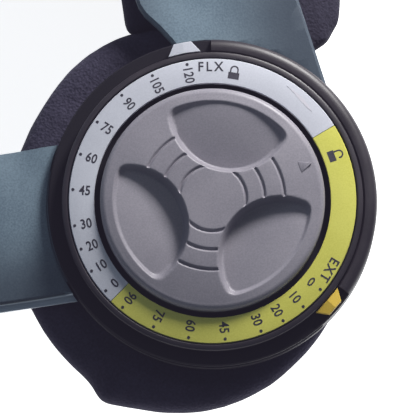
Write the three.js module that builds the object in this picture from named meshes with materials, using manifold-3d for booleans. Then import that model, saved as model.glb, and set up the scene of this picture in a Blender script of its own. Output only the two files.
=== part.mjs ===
import * as THREE from 'three';
import { mergeVertices } from 'three/addons/utils/BufferGeometryUtils.js';
import Module from 'manifold-3d';

// An elbow brace with a range-of-motion hinge, lying on its inner side with the dial up.
// Millimetres. Each limb is modelled with the hinge axis at the origin, the limb along +Y
// and the outer side of the arm along +Z. Height 0 there is the skin under the elbow pad.

// Between two pieces that touch or slide
const clearance = 0.3;

// How far shapes that are joined in one piece run into each other
const joinDepth = 0.5;

// Posture, in degrees
const upperDirection = 98.5;
const angleBetweenLimbs = 90;

// Hinge stack, from the skin outwards
const padThickness = 9.2;
const plateThickness = 2.7;
const eyeThickness = 3;
const slotFloorThickness = 1.8;
const dialRise = 2.8;
const scaleThickness = 0.8;
const knobRise = 4.1;

// Hinge radii
const housingRadius = 35;
const hubRadius = 8;
const eyeRadius = 24;
const bezelOuter = housingRadius - 3;
const bezelInner = bezelOuter - 1.2;
const rimWallInner = bezelOuter + 0.4;
const grooveInner = bezelInner - 1.3;
const lipThickness = 1.6;
const lipEdge = 0.3;
const scaleSeatWidth = 6;
const wellRadius = bezelInner - scaleSeatWidth;
const knobRadius = wellRadius - 0.95;
const scaleInner = wellRadius + clearance;
const scaleSlope = 0.75;
const wellDepth = 2.4;

// Closed part of the housing's rim and its wall, in degrees from the right of the dial
const bandStart = -34.2;
const bandEnd = 90.5;
const bandHeight = 1.8;
const bandChamfer = 0.7;
const bandFromBezel = 0.15;
const wallStart = -48;
const wallEnd = 125;

// Dial scales, in degrees
const whiteStart = 32;
const whiteEnd = 225;

// Lock knob
const knobEdge = 1.5;
const stubRadius = 4;
const stubHeight = 2.6;
const dentCount = 3;
const dentDirection = 78.3;
const dentReach = knobRadius - 2.75;
const dentRadius = knobRadius - 10.7;
const dentCentre = knobRadius - 4.75;
const dentDepth = 4;
const dentRimDepth = 0.6;
const grooveRadii = [7.1, 11, 15.2];
const grooveWidth = 0.65;
const grooveDepth = 0.5;
const arrowDirection = 19.9;
const arrowRadius = knobRadius - 2.85;
const arrowLength = 2.8;
const arrowBase = 2.6;
const arrowRise = 0.35;

// Pointers that slide round the dial
const pointerInner = bezelOuter + clearance;
const pointerOuter = housingRadius - 0.35;
const pointerBaseAngle = 12.4;
const pointerTipAngle = 6.2;
const pointerHeight = 2.1;
const pointerFootInner = grooveInner + 0.5;
const pointerFootHeight = 0.6;
const flexionPointerAt = 100.7;
const extensionPointerAt = -41.2;

// Bars
const barThickness = 4.8;
const barGap = 0.4;
const barEdge = 0.6;
const barWidth = 32;
const barEndRadius = 10;
const neckWidth = 24;
const forearmBarOffset = 1.35;
const ledgeWidth = 1.3;
const ledgeThickness = 1.6;
const ledgeToCuff = 4;
const neckBite = 2;
const neckBelowTop = 0.2;
const upperNeckFrom = 46;
const upperNeckTo = 91.5;
const upperRootFrom = 31;
const upperRootTo = 93.5;
const flareLength = 9.3;
const flareFront = 9.4;
const flareBack = 24.8;
const flareBackAlong = 5.1;
const flareFrontShares = [
  { across: 0.39, along: 0.09 },
  { across: 0.61, along: 0.42 },
  { across: 0.89, along: 0.77 },
  { across: 1, along: 1 },
];
const upperBarStraightFrom = 80;
const barPastStrap = 7;

// Elbow pad
const padRadius = housingRadius + 4.2;
const padCentreX = -4.8;
const padCentreY = -3.1;
const padEdge = 2.4;
const padLobe = 3.8;
const padLobeShares = [
  { at: 0, out: -0.5 },
  { at: 30, out: 0 },
  { at: 50, out: 0 },
  { at: 74, out: 0.75 },
  { at: 98, out: 1 },
  { at: 117, out: 0.95 },
  { at: 131, out: 0.62 },
  { at: 144, out: 0.22 },
  { at: 155, out: 0 },
  { at: 180, out: 0 },
  { at: 208, out: -0.25 },
  { at: 237, out: 0.1 },
  { at: 260, out: 0.38 },
  { at: 275, out: 0.22 },
  { at: 290, out: -0.12 },
  { at: 305, out: -0.4 },
  { at: 330, out: -0.85 },
  { at: 360, out: -0.5 },
];
const padTabFrom = 237;
const padTabTo = 263;
const padTabCorner = 243.7;
const padTabReach = 3.3;
const padTabShoulder = 1.5;

// Cuffs
const cuffWall = 6.5;
const cuffDepth = 101;
const cuffCornerRadius = 38;
const cuffOpening = 44;
const cuffEdgeCorner = 16;
const upperCuffStart = 92;
const upperCuffLength = 106;
const upperCuffWidth = 113;
const forearmCuffStart = 98;
const forearmCuffLength = 136;
const forearmCuffWidth = 100;
const forearmCuffEndWidth = 76;
const forearmCuffDrop = 24;

// Tongue of the upper cuff that runs down behind the bar
const tongueStart = housingRadius - 5;
const tongueFront = 12.2;
const tongueBack = 35.4;
const tongueFrontCorner = 6;
const tongueBackCorner = 12;
const tongueSideStep = 0.6;

// Straps, buckles and rivets
const strapWidth = 38;
const strapThickness = 1.5;
const strapMargin = 8;
const buckleLength = 44;
const buckleBreadth = 28;
const buckleThickness = 3.2;
const buckleSlotLength = 40;
const buckleSlotBreadth = 5;
const buckleSlotAt = 7.5;
const buckleCorner = 3;
const buckleEdge = 0.6;
const buckleSlotCorner = 1.5;
const rivetHeadRadius = 4.5;
const rivetHeadHeight = 1.6;
const rivetHeadShares = [
  { across: 1, up: 0 },
  { across: 0.9, up: 0.6 },
  { across: 0.5, up: 1 },
  { across: 0, up: 1 },
];
const rivetShankRadius = 2;
const rivetInCuff = 3;
const rivetSpread = 16;

// Fineness of the facets
const roundSides = 60;
const arcStep = 6;
const smallSides = 16;
const wrapColumns = 40;

// Levels that follow from the sizes above
const plateBottom = padThickness + clearance;
const plateTop = plateBottom + plateThickness;
const eyeBottom = plateTop + clearance;
const eyeTop = eyeBottom + eyeThickness;
const housingBottom = eyeTop + clearance;
const slotFloor = housingBottom + slotFloorThickness;
const dialTop = slotFloor + dialRise;
const wellFloor = dialTop - wellDepth;
const knobTop = dialTop + knobRise;
const neckTop = eyeTop - neckBelowTop;
const barTop = eyeTop;
const barBottom = barTop - barThickness;
const barStart = housingRadius + barGap;
const cuffTop = barBottom - clearance;
const cuffBottom = cuffTop - cuffDepth;
const restLevel = cuffBottom - clearance - strapThickness;
const forearmCuffEnd = forearmCuffStart + forearmCuffLength;
const forearmSlope = Math.atan(forearmCuffDrop / forearmCuffLength);
const forearmTaper = Math.atan((forearmCuffWidth - forearmCuffEndWidth) / 2 / forearmCuffLength);

const rad = THREE.MathUtils.degToRad;
const wasm = await Module();
wasm.setup();

// Merges the corners of a closed mesh and turns it into a solid that can be cut and joined.
function toSolid(geometry) {
  const bare = geometry.clone();
  bare.deleteAttribute('normal');
  bare.deleteAttribute('uv');
  const merged = mergeVertices(bare, 1e-4);
  const corners = merged.index.array;
  const kept = [];
  for (let i = 0; i < corners.length; i += 3) {
    const [a, b, c] = corners.slice(i, i + 3);
    if (a !== b && b !== c && c !== a) {
      kept.push(a, b, c);
    }
  }
  const vertProperties = new Float32Array(merged.attributes.position.array);
  const triVerts = new Uint32Array(kept);
  return new wasm.Manifold(new wasm.Mesh({ numProp: 3, vertProperties, triVerts }));
}

function toGeometry(solid) {
  const { vertProperties, triVerts } = solid.getMesh();
  const geometry = new THREE.BufferGeometry();
  geometry.setAttribute('position', new THREE.BufferAttribute(vertProperties, 3));
  geometry.setIndex(new THREE.BufferAttribute(triVerts, 1));
  geometry.computeVertexNormals();
  return geometry;
}

function polar(radius, degrees) {
  return new THREE.Vector2(radius * Math.cos(rad(degrees)), radius * Math.sin(rad(degrees)));
}

function arc(radius, from, to) {
  const steps = Math.max(1, Math.round(Math.abs(to - from) / arcStep));
  const points = [];
  for (let i = 0; i <= steps; i += 1) {
    points.push(polar(radius, from + (to - from) * i / steps));
  }
  return points;
}

// An outline raised from one height to another.
function prism(points, low, high) {
  const shape = new THREE.Shape(points);
  const geometry = new THREE.ExtrudeGeometry(shape, { depth: high - low, bevelEnabled: false });
  return toSolid(geometry.translate(0, 0, low));
}

// The same with all its edges chamfered or rounded.
function edgedPrism(points, low, high, edge, steps) {
  const shape = new THREE.Shape(points);
  const geometry = new THREE.ExtrudeGeometry(shape, {
    depth: high - low - 2 * edge,
    bevelEnabled: true,
    bevelThickness: edge,
    bevelSize: edge,
    bevelOffset: -edge,
    bevelSegments: steps,
  });
  return toSolid(geometry.translate(0, 0, low + edge));
}

// A profile of [radius, height] pairs, listed upwards on its outer side, turned about Z.
function turned(profile, sides) {
  const points = profile.map(([radius, height]) => new THREE.Vector2(radius, height));
  const geometry = new THREE.LatheGeometry(points, sides);
  return toSolid(geometry.rotateX(Math.PI / 2));
}

function disc(radius, low, high, sides) {
  return turned([[0, low], [radius, low], [radius, high], [0, high]], sides);
}

function ringSector(inner, outer, from, to, low, high) {
  return prism([...arc(outer, from, to), ...arc(inner, to, from)], low, high);
}

function roundedRectangle(length, breadth, corner) {
  const points = [];
  for (const [turn, x, y] of [[0, 1, 1], [90, -1, 1], [180, -1, -1], [270, 1, -1]]) {
    const centre = new THREE.Vector2(x * (length / 2 - corner), y * (breadth / 2 - corner));
    for (let step = 0; step <= 3; step += 1) {
      points.push(polar(corner, turn + 30 * step).add(centre));
    }
  }
  return points;
}

// Base plate with the hub that the forearm's eye turns on
function hingeBase() {
  const chamfer = 0.5;
  return turned([
    [0, plateBottom],
    [housingRadius - chamfer, plateBottom],
    [housingRadius, plateBottom + chamfer],
    [housingRadius, plateTop],
    [hubRadius, plateTop],
    [hubRadius, eyeTop],
    [0, eyeTop],
  ], roundSides);
}

// Housing: a cap with a bezel over the pointers' groove, a seat for the scales and a well
// for the knob. A band closes the groove on the right, and a wall below it stands on the base.
function hingeHousing() {
  const scaleSeat = dialTop - scaleThickness - clearance;
  const lipBottom = dialTop - lipThickness;
  const cap = turned([
    [0, housingBottom],
    [housingRadius, housingBottom],
    [housingRadius, slotFloor],
    [grooveInner, slotFloor],
    [grooveInner, lipBottom],
    [bezelOuter, lipBottom],
    [bezelOuter, dialTop - lipEdge],
    [bezelOuter - lipEdge, dialTop],
    [bezelInner, dialTop],
    [bezelInner, scaleSeat],
    [wellRadius, scaleSeat],
    [wellRadius, wellFloor],
    [stubRadius, wellFloor],
    [stubRadius, wellFloor + stubHeight],
    [0, wellFloor + stubHeight],
  ], roundSides);
  const bandInner = bezelOuter + bandFromBezel;
  const bandTop = slotFloor + bandHeight;
  const bandRing = turned([
    [bandInner, slotFloor - joinDepth],
    [housingRadius, slotFloor - joinDepth],
    [housingRadius, bandTop - 2 * bandChamfer],
    [housingRadius - bandChamfer, bandTop - bandChamfer],
    [bandInner + bandChamfer, bandTop],
    [bandInner, bandTop - bandChamfer / 2],
    [bandInner, slotFloor - joinDepth],
  ], roundSides);
  const reach = housingRadius + 5;
  const bandWedge = ringSector(20, reach, bandStart, bandEnd, housingBottom, knobTop);
  const wallTop = housingBottom + joinDepth;
  const wall = ringSector(rimWallInner, housingRadius, wallStart, wallEnd, eyeBottom, wallTop);
  const gapAngle = THREE.MathUtils.radToDeg(clearance / housingRadius);
  const turn = upperDirection - 90;
  const window = ringSector(
    rimWallInner - 2,
    reach,
    upperNeckFrom + turn - gapAngle,
    upperNeckTo + turn + gapAngle,
    eyeBottom - 1,
    housingBottom,
  );
  return cap.add(bandRing.intersect(bandWedge)).add(wall.subtract(window));
}

// Part of the dial's scale, which slopes down towards the bezel
function scale(from, to) {
  const gapAngle = THREE.MathUtils.radToDeg(clearance / 2 / scaleInner);
  const outer = bezelInner - clearance;
  const low = dialTop - scaleThickness;
  const high = dialTop + scaleSlope;
  const cone = turned([[0, low], [outer, low], [outer, dialTop], [scaleInner, high], [0, high]], roundSides);
  return ringSector(scaleInner, outer + 1, from + gapAngle, to - gapAngle, low - 1, high + 1).intersect(cone);
}

// Lock knob: three finger dents that ramp up to the rim, three ring grooves, an arrow
function lockKnob() {
  const low = wellFloor + clearance;
  const profile = [[0, low], [knobRadius, low]];
  for (const angle of [0, 30, 60, 90]) {
    const edge = polar(knobEdge, angle);
    profile.push([knobRadius - knobEdge + edge.x, knobTop - knobEdge + edge.y]);
  }
  profile.push([0, knobTop]);
  let knob = turned(profile, roundSides);
  const bore = disc(stubRadius + clearance, low - 1, wellFloor + stubHeight + clearance, smallSides);
  knob = knob.subtract(bore);
  const dentStart = dentCentre - dentRadius;
  const ramp = Math.atan((dentDepth - dentRimDepth) / (dentReach - dentStart));
  for (let i = 0; i < dentCount; i += 1) {
    const reach = disc(dentReach, low, knobTop + 1, roundSides);
    const scoop = disc(dentRadius, low, knobTop + 1, roundSides / 2).translate([dentCentre, 0, 0]);
    const side = 2 * knobRadius;
    const above = new THREE.BoxGeometry(side, side, side);
    above.translate(0, 0, side / 2);
    above.rotateY(-ramp);
    above.translate(dentStart, 0, knobTop - dentDepth);
    const dent = reach.intersect(scoop).intersect(toSolid(above));
    knob = knob.subtract(dent.rotate([0, 0, dentDirection + i * 360 / dentCount]));
  }
  for (const radius of grooveRadii) {
    const inner = radius - grooveWidth / 2;
    const outer = radius + grooveWidth / 2;
    const bottom = knobTop - grooveDepth;
    const top = knobTop + 1;
    const ring = [[inner, bottom], [outer, bottom], [outer, top], [inner, top], [inner, bottom]];
    knob = knob.subtract(turned(ring, roundSides));
  }
  const arrow = prism([
    new THREE.Vector2(arrowRadius - arrowLength / 2, -arrowBase / 2),
    new THREE.Vector2(arrowRadius + arrowLength / 2, 0),
    new THREE.Vector2(arrowRadius - arrowLength / 2, arrowBase / 2),
  ], knobTop - joinDepth, knobTop + arrowRise);
  return knob.add(arrow.rotate([0, 0, arrowDirection]));
}

// A pointer: a wedge outside the bezel on a foot that reaches in under it
function pointer(at) {
  const half = pointerBaseAngle / 2;
  const tip = pointerTipAngle / 2;
  const low = slotFloor + clearance;
  const wedge = prism([
    polar(pointerInner, at - half),
    polar(pointerOuter, at - tip),
    polar(pointerOuter, at + tip),
    polar(pointerInner, at + half),
    polar(pointerInner, at),
  ], low, low + pointerHeight);
  const footOuter = pointerInner + joinDepth;
  const foot = ringSector(pointerFootInner, footOuter, at - tip, at + tip, low, low + pointerFootHeight);
  return wedge.add(foot);
}

// How far the elbow pad runs out beyond its circle in a direction, or falls short of it
function padRunsOut(degrees) {
  const next = padLobeShares.findIndex(({ at }) => at > degrees % 360);
  if (next < 1) {
    return 0;
  }
  const from = padLobeShares[next - 1];
  const to = padLobeShares[next];
  const share = (degrees % 360 - from.at) / (to.at - from.at);
  return padLobe * (from.out + (to.out - from.out) * share);
}

// The pad's edge, without its tab: a circle with a lobe towards the upper arm, cut short at the back
function padEdgeLine(margin) {
  const points = [];
  const sweep = padTabFrom + 360 - padTabTo;
  for (let i = 0; i <= roundSides; i += 1) {
    const at = padTabTo + sweep * i / roundSides;
    points.push(polar(padRadius + margin + padRunsOut(at), at));
  }
  return points;
}

function elbowPad() {
  const tab = [
    polar(padRadius + padTabReach, padTabCorner),
    polar(padRadius + padTabShoulder, padTabTo - padTabShoulder),
  ];
  const outline = [...padEdgeLine(0), ...tab];
  return edgedPrism(outline, 0, padThickness, padEdge, 2).translate([padCentreX, padCentreY, 0]);
}

// Holes for the two rivets across a bar, about a point on the bar's upper face
function rivetPlaces(y, z, slope, offset) {
  return [-1, 1].map((side) => {
    const place = new THREE.Matrix4().makeTranslation(offset + side * rivetSpread / 2, y, z);
    return place.multiply(new THREE.Matrix4().makeRotationX(-slope));
  });
}

function rivetHoles(places, depth) {
  const hole = disc(rivetShankRadius + clearance, -depth, rivetHeadHeight, smallSides);
  return places.map((place) => hole.transform(place.elements));
}

function rivet() {
  const low = -barThickness - rivetInCuff;
  return turned([
    [0, low],
    [rivetShankRadius, low],
    [rivetShankRadius, clearance],
    ...rivetHeadShares.map(({ across, up }) => [across * rivetHeadRadius, clearance + up * rivetHeadHeight]),
  ], smallSides);
}

// Cuff sections: half width, top, bottom and corner radius at a distance from the hinge.
// A front of 1 faces +X, and of -1 faces -X.
function upperSection() {
  return {
    halfWidth: upperCuffWidth / 2,
    top: cuffTop,
    bottom: cuffBottom,
    radius: cuffCornerRadius,
    front: -1,
  };
}

function forearmSection(y) {
  const share = (y - forearmCuffStart) / forearmCuffLength;
  const halfWidth = (forearmCuffWidth + (forearmCuffEndWidth - forearmCuffWidth) * share) / 2;
  return {
    halfWidth,
    top: cuffTop - forearmCuffDrop * share,
    bottom: cuffBottom,
    radius: cuffCornerRadius * halfWidth * 2 / upperCuffWidth,
    front: 1,
  };
}

function girth(section) {
  const { halfWidth, top, bottom, radius } = section;
  return 4 * (halfWidth - radius) + 2 * (top - bottom - 2 * radius) + 2 * Math.PI * radius;
}

// Where a distance round the section falls, from the middle of its front: a share of the way
// along one of its five flats, then a share of the way round the corner that follows it
function stationAt(distance, section) {
  const { halfWidth, top, bottom, radius } = section;
  const across = 2 * (halfWidth - radius);
  const deep = top - bottom - 2 * radius;
  const corner = Math.PI * radius / 2;
  const flats = [deep / 2, across, deep, across, deep / 2];
  let left = distance;
  let flat = 0;
  while (flat < 4 && left >= flats[flat] + corner) {
    left -= flats[flat] + corner;
    flat += 1;
  }
  const along = Math.min(1, left / flats[flat]);
  return { flat, along, bend: Math.max(0, left - flats[flat]) / corner };
}

// The point on a section at a station, set inwards by a distance
function sectionPoint(station, section, inset) {
  const { halfWidth, top, bottom, radius, front } = section;
  const across = halfWidth - radius;
  const deep = (top - bottom) / 2 - radius;
  const centres = [[1, 0], [1, 1], [-1, 1], [-1, -1], [1, -1], [1, 0]].map(([x, z]) => (
    new THREE.Vector2(x * across, z * deep)
  ));
  const out = polar(radius - inset, 90 * (station.flat + station.bend));
  const point = centres[station.flat].lerp(centres[station.flat + 1], station.along).add(out);
  return [front * point.x, (top + bottom) / 2 + front * point.y];
}

// How far an edge draws back near a rounded corner, at a distance from the corner's side
function cornerRise(distance, radius) {
  const past = radius - Math.max(0, Math.min(distance, radius));
  return radius - Math.sqrt(radius * radius - past * past);
}

// A closed shell between an outer and an inner grid of points, columns by rows.
function shell(outer, inner, closed) {
  const columns = outer.length;
  const rows = outer[0].length;
  const positions = [...outer.flat(2), ...inner.flat(2)];
  const at = (side, column, row) => (side * columns + column % columns) * rows + row;
  const faces = [];
  const quad = (a, b, c, d) => faces.push(a, b, c, a, c, d);
  const spans = closed ? columns : columns - 1;
  for (let i = 0; i < spans; i += 1) {
    for (let j = 0; j < rows - 1; j += 1) {
      quad(at(0, i, j), at(0, i, j + 1), at(0, i + 1, j + 1), at(0, i + 1, j));
      quad(at(1, i, j), at(1, i + 1, j), at(1, i + 1, j + 1), at(1, i, j + 1));
    }
    quad(at(0, i, 0), at(0, i + 1, 0), at(1, i + 1, 0), at(1, i, 0));
    quad(at(0, i, rows - 1), at(1, i, rows - 1), at(1, i + 1, rows - 1), at(0, i + 1, rows - 1));
  }
  if (!closed) {
    const last = columns - 1;
    for (let j = 0; j < rows - 1; j += 1) {
      quad(at(0, 0, j), at(1, 0, j), at(1, 0, j + 1), at(0, 0, j + 1));
      quad(at(0, last, j), at(0, last, j + 1), at(1, last, j + 1), at(1, last, j));
    }
  }
  const geometry = new THREE.BufferGeometry();
  geometry.setAttribute('position', new THREE.Float32BufferAttribute(positions, 3));
  geometry.setIndex(faces);
  return toSolid(geometry);
}

// Distances round a cuff from one free edge to the other, closer together at its corners.
function wrapDistances(section) {
  const length = girth(section) - cuffOpening;
  const distances = [];
  for (const angle of [0, 30, 60, 90]) {
    const distance = cuffEdgeCorner * (1 - Math.cos(rad(angle)));
    distances.push(distance, length - distance);
  }
  const step = length / wrapColumns;
  const last = length - cuffEdgeCorner - step / 4;
  for (let distance = cuffEdgeCorner + step / 2; distance < last; distance += step) {
    distances.push(distance);
  }
  return distances;
}

// A padded band round the limb that stays open at the front.
function wrapSolid(distances, sectionAt, start, end, startEdge) {
  const length = girth(sectionAt(start)) - cuffOpening;
  const outer = [];
  const inner = [];
  for (const distance of distances) {
    const station = stationAt(distance + cuffOpening / 2, sectionAt(start));
    const rise = cornerRise(Math.min(distance, length - distance), cuffEdgeCorner);
    const ends = [startEdge(distance, start + rise), end - rise];
    const column = (inset) => ends.map((y) => {
      const [x, z] = sectionPoint(station, sectionAt(y), inset);
      return [x, y, z];
    });
    outer.push(column(0));
    inner.push(column(cuffWall));
  }
  return shell(outer, inner, false);
}

// Where the two sides of the tongue lie round the upper cuff
function tongueSides() {
  const topCentre = girth(upperSection()) * 0.75 - cuffOpening / 2;
  return { back: topCentre - tongueBack, front: topCentre + tongueFront };
}

function upperCuffDistances() {
  const { back, front } = tongueSides();
  const distances = wrapDistances(upperSection());
  distances.push(back - tongueSideStep, front + tongueSideStep);
  for (const angle of [0, 30, 60, 90]) {
    const turn = 1 - Math.cos(rad(angle));
    distances.push(back + tongueBackCorner * turn, front - tongueFrontCorner * turn);
  }
  return distances;
}

// Upper cuff with its tongue, which is cut back round the housing and the elbow pad
function upperCuff(distances) {
  const { back, front } = tongueSides();
  const startEdge = (distance, plain) => {
    if (distance < back || distance > front) {
      return plain;
    }
    const backRise = cornerRise(distance - back, tongueBackCorner);
    const frontRise = cornerRise(front - distance, tongueFrontCorner);
    return tongueStart + Math.max(backRise, frontRise);
  };
  const end = upperCuffStart + upperCuffLength;
  const wrap = wrapSolid(distances, upperSection, upperCuffStart, end, startEdge);
  const round = disc(barStart, -1, plateTop, roundSides);
  const pad = prism(padEdgeLine(barGap), -1, plateTop).translate([padCentreX, padCentreY, 0]);
  return wrap.subtract(round).subtract(pad.rotate([0, 0, 90 - upperDirection]));
}

function forearmCuff(distances) {
  return wrapSolid(distances, forearmSection, forearmCuffStart, forearmCuffEnd, (distance, plain) => plain);
}

// What a strap is pulled tight over at one place: the outside of the cuff and the bar.
function strapCore(stations, section, bar) {
  const points = stations.map((station) => sectionPoint(station, section, 0));
  return [...points, [bar.from, bar.top], [bar.to, bar.top]];
}

// The numbers of the points that a band pulled tight round them all would touch, in order
function tightRound(points) {
  const turn = (a, b, c) => (b[0] - a[0]) * (c[1] - a[1]) - (b[1] - a[1]) * (c[0] - a[0]);
  const order = points.map((point, i) => i);
  order.sort((i, j) => points[i][0] - points[j][0] || points[i][1] - points[j][1]);
  const half = (numbers) => {
    const chain = [];
    for (const i of numbers) {
      while (chain.length > 1 && turn(points[chain.at(-2)], points[chain.at(-1)], points[i]) < 1e-6) {
        chain.pop();
      }
      chain.push(i);
    }
    return chain.slice(0, -1);
  };
  return [...half(order), ...half(order.reverse())];
}

// A closed outline moved outwards by a distance, as [x, y, z] at a place along the limb
function lifted(outline, lift, y) {
  const sideNormal = (from, to) => new THREE.Vector2(to[1] - from[1], from[0] - to[0]).normalize();
  return outline.map((point, i) => {
    const before = sideNormal(outline.at(i - 1), point);
    const after = sideNormal(point, outline[(i + 1) % outline.length]);
    const out = before.clone().add(after).multiplyScalar(lift / (1 + before.dot(after)));
    return [point[0] + out.x, y, point[1] + out.y];
  });
}

function strap(stations, sectionAt, barAt, centre) {
  const places = [centre - strapWidth / 2, centre + strapWidth / 2];
  const cores = places.map((y) => strapCore(stations, sectionAt(y), barAt(y)));
  const touched = tightRound(cores[0]);
  const columns = (lift) => {
    const [near, far] = places.map((y, i) => lifted(touched.map((number) => cores[i][number]), lift, y));
    return near.map((point, i) => [point, far[i]]);
  };
  return shell(columns(clearance + strapThickness), columns(clearance), true);
}

function buckle() {
  const outline = roundedRectangle(buckleLength, buckleBreadth, buckleCorner);
  const frame = edgedPrism(outline, 0, buckleThickness, buckleEdge, 1);
  const slotOutline = roundedRectangle(buckleSlotLength, buckleSlotBreadth, buckleSlotCorner);
  const slot = prism(slotOutline, -1, buckleThickness + 1);
  return frame.subtract(slot.translate([0, buckleSlotAt, 0])).subtract(slot.translate([0, -buckleSlotAt, 0]));
}

// Where a buckle lies on the front of a strap
function bucklePlace(stations, sectionAt, centre, taper) {
  const section = sectionAt(centre);
  const [x] = sectionPoint(stations[0], section, 0);
  const lift = (2 * clearance + strapThickness) / Math.cos(taper);
  const place = new THREE.Matrix4().makeTranslation(
    x + section.front * lift,
    centre,
    (section.top + section.bottom) / 2,
  );
  const lie = new THREE.Matrix4().makeBasis(
    new THREE.Vector3(0, section.front, 0),
    new THREE.Vector3(0, 0, 1),
    new THREE.Vector3(section.front, 0, 0),
  );
  return place.multiply(new THREE.Matrix4().makeRotationZ(taper)).multiply(lie);
}

// Upper bar: a neck between the base and the housing, a flare, then a straight strip
function upperBar(end, places) {
  const half = barWidth / 2;
  const flare = flareFrontShares.map(({ across, along }) => (
    new THREE.Vector2(-across * flareFront, barStart + along * flareLength)
  ));
  const cornerCentre = new THREE.Vector2(half - barEndRadius, end - barEndRadius);
  const endCorners = [0, 30, 60, 90].map((angle) => polar(barEndRadius, angle).add(cornerCentre));
  const outline = [
    new THREE.Vector2(0, 0),
    polar(barStart - neckBite, upperRootFrom),
    new THREE.Vector2(flareBack, barStart + flareBackAlong),
    new THREE.Vector2(half, upperBarStraightFrom),
    ...endCorners,
    ...endCorners.map((corner) => new THREE.Vector2(-corner.x, corner.y)).reverse(),
    new THREE.Vector2(-half, upperBarStraightFrom),
    ...flare.reverse(),
    polar(barStart - neckBite, upperRootTo),
  ];
  const round = disc(barStart, 0, knobTop, roundSides);
  const strip = edgedPrism(outline, barBottom, barTop, barEdge, 1).subtract(round);
  const neckInner = eyeRadius + barGap;
  const neckOuter = barStart + neckBite;
  const neck = ringSector(neckInner, neckOuter, upperNeckFrom, upperNeckTo, eyeBottom, neckTop);
  let bar = strip.add(neck);
  for (const hole of rivetHoles(places, barThickness + 1)) {
    bar = bar.subtract(hole);
  }
  return bar;
}

// Height of the forearm bar's upper face, which bends down where the cuff starts to taper
function forearmBarTop(y) {
  return barTop - Math.max(0, y - forearmCuffStart) * Math.tan(forearmSlope);
}

// Forearm bar: an eye round the hub, a neck and a strip that bends down towards the wrist,
// with a low ledge along its outer side between the dial and the cuff
function forearmBar(end, places) {
  const half = barWidth / 2;
  const left = forearmBarOffset - half;
  const side = [
    [0, barBottom],
    [forearmCuffStart, barBottom],
    [end, forearmBarTop(end) - barThickness],
    [end, forearmBarTop(end)],
    [forearmCuffStart, barTop],
    [0, barTop],
  ].map(([y, z]) => new THREE.Vector2(y, z));
  const lying = new THREE.Matrix4().makeBasis(
    new THREE.Vector3(0, 1, 0),
    new THREE.Vector3(0, 0, 1),
    new THREE.Vector3(1, 0, 0),
  );
  const profile = prism(side, left, left + barWidth).transform(lying.elements);
  const plan = roundedRectangle(barWidth, 2 * end, barEndRadius);
  const strip = profile.intersect(prism(plan, -cuffDepth, knobTop).translate([forearmBarOffset, 0, 0]));
  const ledge = prism([
    new THREE.Vector2(left - ledgeWidth, 0),
    new THREE.Vector2(left + joinDepth, 0),
    new THREE.Vector2(left + joinDepth, forearmCuffStart - ledgeToCuff),
    new THREE.Vector2(left - ledgeWidth, forearmCuffStart - ledgeToCuff - ledgeWidth),
  ], barBottom, barBottom + ledgeThickness);
  const eye = disc(eyeRadius, eyeBottom, neckTop, roundSides);
  const neckHalf = neckWidth / 2;
  const neck = prism([
    new THREE.Vector2(-neckHalf, 0),
    new THREE.Vector2(neckHalf, 0),
    new THREE.Vector2(neckHalf, barStart + neckBite),
    new THREE.Vector2(-neckHalf, barStart + neckBite),
  ], eyeBottom, neckTop);
  let bar = strip.add(ledge).subtract(disc(barStart, 0, knobTop, roundSides)).add(neck).add(eye);
  bar = bar.subtract(disc(hubRadius + clearance, 0, knobTop, roundSides));
  for (const hole of rivetHoles(places, barThickness + 1)) {
    bar = bar.subtract(hole);
  }
  return bar;
}

// Finishes
function finish(color, roughness, metalness = 0) {
  return () => new THREE.MeshStandardMaterial({ color, roughness, metalness });
}

const blackPlastic = finish(0x2b2834, 0.45);
const greyPlastic = finish(0x8f8e98, 0.42);
const barPlastic = finish(0x6d7c88, 0.5);
const whitePlastic = finish(0xdcdadf, 0.4);
const limePlastic = finish(0xc3c052, 0.4);
const amberPlastic = finish(0xc99a35, 0.4);
const navyFoam = finish(0x2c2a37, 0.95);
const blackWebbing = finish(0x24232c, 0.85);
const steel = finish(0x9a9ca2, 0.3, 0.9);

const brace = new THREE.Group();
const upperArm = new THREE.Group();
const forearm = new THREE.Group();
upperArm.rotation.z = rad(upperDirection - 90);
forearm.rotation.z = rad(upperDirection - 90 + angleBetweenLimbs);
brace.add(upperArm, forearm);

function addPiece(group, name, solid, material, place = new THREE.Matrix4()) {
  const mesh = new THREE.Mesh(toGeometry(solid), material());
  mesh.name = name;
  mesh.applyMatrix4(place);
  group.add(mesh);
}

addPiece(brace, 'elbow_pad', elbowPad(), navyFoam);
addPiece(brace, 'hinge_base', hingeBase(), blackPlastic);
addPiece(brace, 'hinge_housing', hingeHousing(), blackPlastic);
addPiece(brace, 'flexion_scale', scale(whiteStart, whiteEnd), whitePlastic);
addPiece(brace, 'extension_scale', scale(whiteEnd, whiteStart + 360), limePlastic);
addPiece(brace, 'lock_knob', lockKnob(), greyPlastic);
addPiece(brace, 'flexion_pointer', pointer(flexionPointerAt), whitePlastic);
addPiece(brace, 'extension_pointer', pointer(extensionPointerAt), amberPlastic);

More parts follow.
